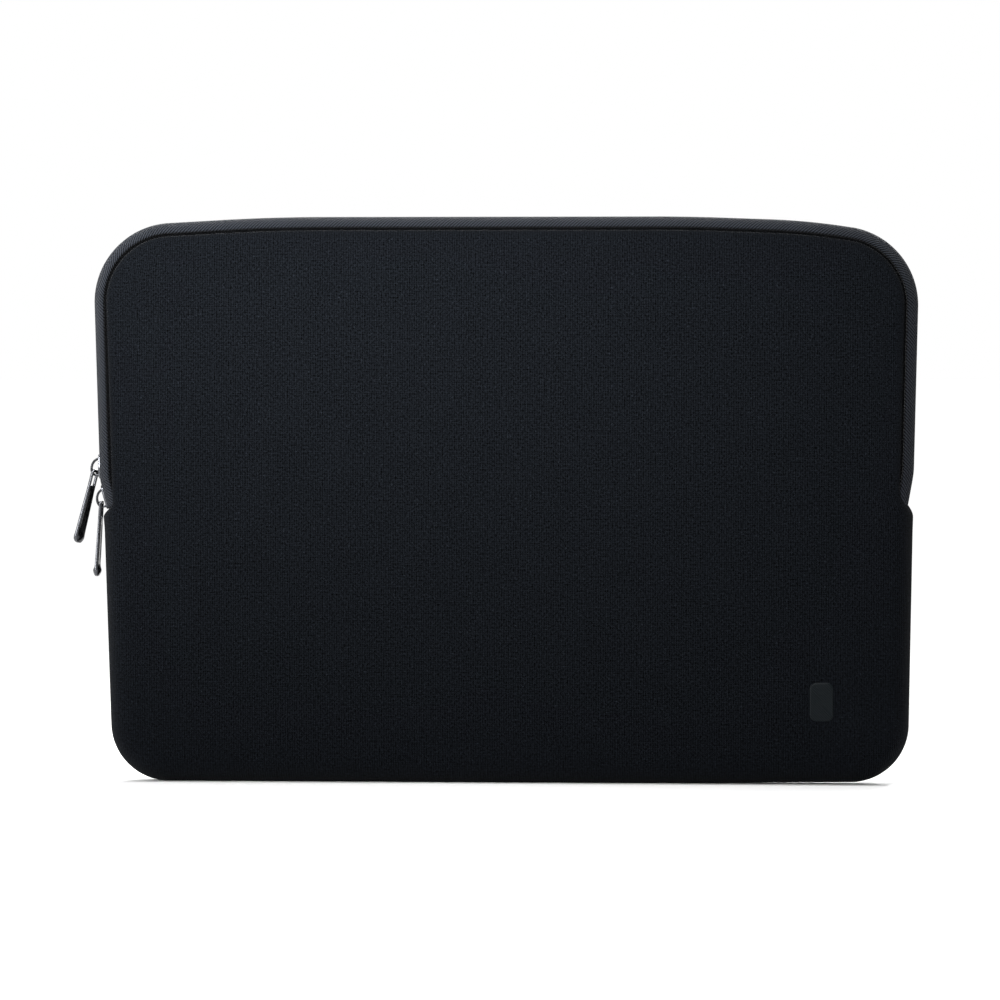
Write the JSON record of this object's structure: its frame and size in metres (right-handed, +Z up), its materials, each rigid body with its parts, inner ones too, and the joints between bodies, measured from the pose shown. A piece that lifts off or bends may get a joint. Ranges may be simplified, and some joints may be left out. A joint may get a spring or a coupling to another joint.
{
  "type": "laptop sleeve",
  "caption": "Slim padded laptop sleeve with rounded corners, a two-way zip round its upper half and two metal pullers.",
  "frame": {"origin": "middle of the bottom edge, where the standing sleeve rests", "axes": "+Z up, -Y out of the front face that carries the badge, +X to the right seen from the front"},
  "size_m": [0.3954, 0.0255, 0.264],
  "materials": {
    "knit_face": "fine knit, matt",
    "lining": "brushed, matt",
    "zip_tape": "twill weave, matt",
    "zip_coil": "satin nylon",
    "binding": "woven, matt",
    "badge": "tonal, satin",
    "black_metal": "gloss black plating"
  },
  "bodies": {
    "sleeve": {"back_panel": "knit_face", "front_panel_lower": "knit_face", "back_lining": "lining", "front_lining_lower": "lining", "zip_tape_back": "zip_tape", "zip_tape_front_left": "zip_tape", "zip_tape_front_right": "zip_tape", "zip_coil_back": "zip_coil", "zip_coil_front_left": "zip_coil", "zip_coil_front_right": "zip_coil", "zip_stop_left": "zip_coil", "zip_stop_right": "zip_coil", "zip_binding_back": "binding", "zip_binding_front_left": "binding", "zip_binding_front_right": "binding", "seam_binding_lower": "binding", "badge_patch": "badge"},
    "front_flap": {"front_panel_flap": "knit_face", "front_lining_flap": "lining", "zip_tape_front_flap": "zip_tape", "zip_coil_front_flap": "zip_coil", "zip_binding_front_flap": "binding"},
    "slider_upper": {"slider_upper_body": "black_metal", "slider_upper_strap": "black_metal"},
    "puller_upper": {"puller_upper": "black_metal"},
    "slider_lower": {"slider_lower_body": "black_metal", "slider_lower_strap": "black_metal"},
    "puller_lower": {"puller_lower": "black_metal"}
  },
  "joints": [
    {"name": "flap_fold", "type": "hinge", "parent": "sleeve", "child": "front_flap", "pos_m": [0, -0.0128, 0.163], "axis": [1, 0, 0], "range_deg": [0, 110]},
    {"name": "slider_upper_travel", "type": "slide", "parent": "sleeve", "child": "slider_upper", "axis": [-0.0296, 0, 0.9996], "range_m": [0, 0.066]},
    {"name": "puller_upper_swing", "type": "hinge", "parent": "slider_upper", "child": "puller_upper", "pos_m": [-0.19277, 0, 0.14521], "axis": [0, 1, 0], "range_deg": [0, 110]},
    {"name": "slider_lower_travel", "type": "slide", "parent": "sleeve", "child": "slider_lower", "axis": [-0.2588, 0, 0.9659], "range_m": [0, 0.0012]},
    {"name": "puller_lower_swing", "type": "hinge", "parent": "slider_lower", "child": "puller_lower", "pos_m": [-0.18986, 0, 0.13039], "axis": [0, 1, 0], "range_deg": [-1.5, 10]}
  ]
}
